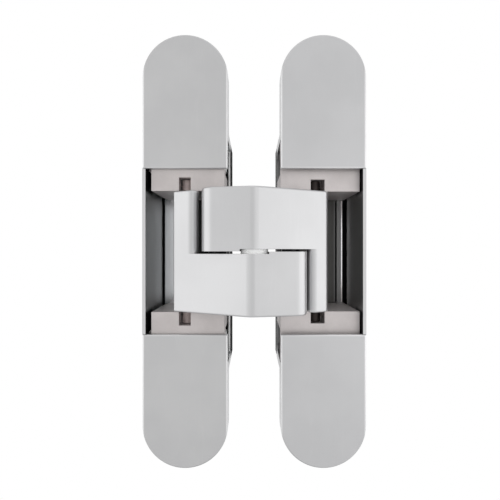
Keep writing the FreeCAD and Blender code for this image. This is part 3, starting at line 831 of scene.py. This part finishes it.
def screw_surface(profile, pitch, depth, around):
    """Closed surface of a screw along +Y: radius = outline radius, drawn in to a hexagon by
    cos(30) / cos(angle from the nearest flat) in the socket, and on the shaft less depth times a
    triangle wave of (place / pitch - angle / turn)."""
    angle = np.linspace(0, 2 * np.pi, around, endpoint=False)
    place, radius, hexed, threaded = (profile[:, i:i + 1] for i in range(4))
    flat = np.mod(angle, np.pi / 3) - np.pi / 6
    hexagon = np.cos(np.pi / 6) / np.cos(flat)
    wave = np.abs(2 * np.mod(place / pitch - angle / (2 * np.pi), 1.0) - 1)
    r = radius * (1 - hexed + hexed * hexagon) - threaded * depth * wave
    points = np.stack([r * np.cos(angle), place + 0 * r, r * np.sin(angle)], axis=-1)
    poles = [points[0].mean(axis=0), points[-1].mean(axis=0)]
    vertices = np.concatenate([points[1:-1].reshape(-1, 3), poles])
    rows = len(profile) - 2
    ring = np.arange(around)
    step = (ring + 1) % around
    end = (rows - 1) * around
    first_fan = np.stack([ring * 0 + len(vertices) - 2, step, ring], axis=-1)
    last_fan = np.stack([ring * 0 + len(vertices) - 1, end + ring, end + step], axis=-1)
    return vertices, grid_faces(rows, around) + first_fan.tolist() + last_fan.tolist()


def head_middles(low, high, head_r):
    """Middles of the heads along one side of a node's box: one if the box is a head wide, else one
    at each end."""
    if high - low < 3 * head_r:
        return [(low + high) / 2]
    return [low + head_r, high - head_r]


class HINGE_OT_screws(Operator):
    """Build the threaded clamp, side and depth screws"""

    bl_idname = "hinge.screws"
    bl_label = "Screws"

    def execute(self, context):
        finishes = context.scene.hinge_finishes
        settings = context.scene.hinge_screws
        material = turned_material("Plated screw", finishes.screw_colour, Y_AXIS, 0.28)
        for name, node, kind, body in SCREWS:
            low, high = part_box(node)
            head_r = SCREW_SIZES[kind]["head_r"]
            profile = screw_profile(length=high.y - low.y, pitch=settings.thread_pitch,
                                    chamfer=settings.head_chamfer, **SCREW_SIZES[kind])
            points, faces = screw_surface(profile, settings.thread_pitch, settings.thread_depth,
                                          settings.around)
            places = [(x, low.y, z) for x in head_middles(low.x, high.x, head_r)
                      for z in head_middles(low.z, high.z, head_r)]
            all_points = np.concatenate([points + np.array(place) for place in places])
            all_faces = [[i * len(points) + corner for corner in face]
                         for i in range(len(places)) for face in faces]
            piece = smooth_piece(name, all_points, all_faces, 28, material)
            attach(piece, body)
            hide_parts(node)
        return {"FINISHED"}


def strip_surface(x, y, half_width, height, half_length, points):
    """Closed strip along Z with a tilted, barely crowned face: x + half_width cos(a), y - height
    times the fourth root of sin(a) for a from 0 to 180 degrees, where the height falls to 0.55 of
    itself towards the lower X. Its back is flat, and its ends are drawn down to half that height
    over the last half width."""
    angle = np.linspace(0, np.pi, points)
    crown = np.sqrt(np.sqrt(np.clip(np.sin(angle), 0, 1)))
    rise = height * (0.775 + 0.225 * np.cos(angle)) * crown
    stations = [(-half_length, 0.5), (half_width - half_length, 1.0),
                (half_length - half_width, 1.0), (half_length, 0.5)]
    rings = [np.stack([x + half_width * np.cos(angle), y - share * rise, 0 * angle + z], axis=-1)
             for z, share in stations]
    last = (len(rings) - 1) * points
    ends = [list(range(points))[::-1], list(range(last, last + points))]
    return np.concatenate(rings), grid_faces(len(rings), points) + ends


class HINGE_OT_strip(Operator):
    """Build the bright wear strip along the edge of the door carriage's web"""

    bl_idname = "hinge.strip"
    bl_label = "Wear strip"

    def execute(self, context):
        finishes = context.scene.hinge_finishes
        strip = context.scene.hinge_strip
        points, faces = strip_surface(strip.place_x, strip.place_y, strip.width / 2, strip.height,
                                      strip.length / 2, strip.points)
        material = turned_material("Polished strip", finishes.strip_colour, Z_AXIS, 0.12)
        piece = smooth_piece("Wear_strip", points, faces, 40, material)
        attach(piece, "door_carriage_body")
        return {"FINISHED"}


# Studio

# Lamp, the name of its power, its size, and its place from the middle of the hinge
LAMPS = (
    ("Left lamp", "left_power", (0.8, 0.9), (-0.64, -0.14, -0.05)),
    ("Right lamp", "right_power", (0.8, 0.9), (0.64, -0.14, -0.16)),
    ("Top lamp", "top_power", (0.9, 0.5), (0.0, -0.25, 0.62)),
    ("Left front lamp", "left_front_power", (0.35, 0.7), (-0.38, -0.66, 0.02)),
    ("Right front lamp", "right_front_power", (0.35, 0.7), (0.38, -0.66, -0.05)),
)
FLOOR_REACH = 3.0
FLOOR_FADE = (0.06, 0.17)
SENSOR_WIDTH = 36.0
CAMERA_SHIFT = (-0.0054, 0.003)
CLIP_START = 0.005


def white_rays(tree):
    """1 where a ray comes from the camera, a glossy surface or a clear one, so that all three see
    white."""
    path = add(tree, "ShaderNodeLightPath").outputs
    either = math_node(tree, "MAXIMUM", path["Is Camera Ray"], path["Is Glossy Ray"])
    return math_node(tree, "MAXIMUM", either, path["Is Transmission Ray"])


def studio_world(studio):
    """Soft light from all round that camera, glossy and clear rays see as plain white."""
    world = bpy.data.worlds.new("Studio")
    world.use_nodes = True
    tree = world.node_tree
    tree.nodes.clear()
    soft = add(tree, "ShaderNodeBackground",
               {"Color": (0.98, 0.99, 1.0, 1), "Strength": studio.ambient})
    white = add(tree, "ShaderNodeBackground", {"Color": (1, 1, 1, 1), "Strength": 1.0})
    mix = add(tree, "ShaderNodeMixShader",
              {0: white_rays(tree), 1: soft.outputs[0], 2: white.outputs[0]})
    add(tree, "ShaderNodeOutputWorld", {"Surface": mix.outputs[0]})
    return world


def floor_material():
    """Pale floor that keeps the shadow under the hinge and fades to the white background."""
    material = bpy.data.materials.new("Pale floor")
    material.use_nodes = True
    tree = material.node_tree
    tree.nodes.clear()
    flat = add(tree, "ShaderNodeVectorMath", {0: object_place(tree), 1: (1, 1, 0)},
               operation="MULTIPLY").outputs[0]
    reach = add(tree, "ShaderNodeVectorMath", {0: flat}, operation="LENGTH").outputs["Value"]
    factor = product(tree, ramped(tree, reach, *FLOOR_FADE), white_rays(tree))
    paint = add(tree, "ShaderNodeBsdfDiffuse", {"Color": (0.9, 0.9, 0.9, 1)})
    glow = add(tree, "ShaderNodeEmission", {"Color": (1, 1, 1, 1), "Strength": 1.0})
    mix = add(tree, "ShaderNodeMixShader", {0: factor, 1: paint.outputs[0], 2: glow.outputs[0]})
    add(tree, "ShaderNodeOutputMaterial", {"Surface": mix.outputs[0]})
    return material


def area_lamp(name, power, size, place, target):
    data = bpy.data.lights.new(name, "AREA")
    data.shape = "RECTANGLE"
    data.size, data.size_y = size
    data.energy = power
    lamp = bpy.data.objects.new(name, data)
    lamp.location = place
    lamp.rotation_euler = (Vector(target) - Vector(place)).to_track_quat("-Z", "Y").to_euler()
    bpy.context.scene.collection.objects.link(lamp)


class HINGE_OT_studio(Operator):
    """Set up the camera, the pale floor and the soft lamps"""

    bl_idname = "hinge.studio"
    bl_label = "Studio"

    def execute(self, context):
        studio = context.scene.hinge_studio
        scene = context.scene
        scene.view_settings.view_transform = "Standard"
        scene.world = studio_world(studio)
        mesh = bpy.data.meshes.new("Floor")
        corners = [(-FLOOR_REACH, -FLOOR_REACH), (FLOOR_REACH, -FLOOR_REACH),
                   (FLOOR_REACH, FLOOR_REACH), (-FLOOR_REACH, FLOOR_REACH)]
        mesh.from_pydata([(x, y, -studio.floor_drop) for x, y in corners], [], [(0, 1, 2, 3)])
        mesh.materials.append(floor_material())
        floor = bpy.data.objects.new("Floor", mesh)
        scene.collection.objects.link(floor)
        middle = (cad_low + cad_high) / 2
        for name, power, size, (x, y, z) in LAMPS:
            area_lamp(name, getattr(studio, power), size, (middle.x + x, y, z),
                      (middle.x, 0.0, 0.0))
        data = bpy.data.cameras.new("Camera")
        data.lens = studio.lens
        data.sensor_width = SENSOR_WIDTH
        data.shift_x, data.shift_y = CAMERA_SHIFT
        data.clip_start = CLIP_START
        camera = bpy.data.objects.new("Camera", data)
        camera.location = (studio.camera_x, studio.camera_y, 0.0)
        camera.rotation_euler = (math.radians(90), 0.0, 0.0)
        scene.collection.objects.link(camera)
        scene.camera = camera
        return {"FINISHED"}


class HINGE_PT_sidebar(Panel):
    """Sizes, colours and steps of the hinge"""

    bl_label = "Hinge"
    bl_idname = "HINGE_PT_sidebar"
    bl_space_type = "VIEW_3D"
    bl_region_type = "UI"
    bl_category = "Hinge"

    def draw(self, context):
        for name in SETTINGS:
            settings = getattr(context.scene, name)
            box = self.layout.box()
            for entry in settings.__annotations__:
                box.prop(settings, entry)
        for step in STEPS:
            self.layout.operator(step.bl_idname)


SETTINGS = {"hinge_finishes": HingeFinishes, "hinge_screws": HingeScrews,
            "hinge_strip": HingeStrip, "hinge_studio": HingeStudio}
STEPS = (HINGE_OT_castings, HINGE_OT_plastics, HINGE_OT_pins, HINGE_OT_screws, HINGE_OT_strip,
         HINGE_OT_studio)
CLASSES = (*SETTINGS.values(), *STEPS, HINGE_PT_sidebar)


def register():
    for each in CLASSES:
        bpy.utils.register_class(each)
    for name, settings in SETTINGS.items():
        setattr(bpy.types.Scene, name, PointerProperty(type=settings))


def unregister():
    for name in SETTINGS:
        delattr(bpy.types.Scene, name)
    for each in reversed(CLASSES):
        bpy.utils.unregister_class(each)


def main():
    register()
    bpy.ops.hinge.castings()
    bpy.ops.hinge.plastics()
    bpy.ops.hinge.pins()
    bpy.ops.hinge.screws()
    bpy.ops.hinge.strip()
    bpy.ops.hinge.studio()


if __name__ == "__main__":
    main()
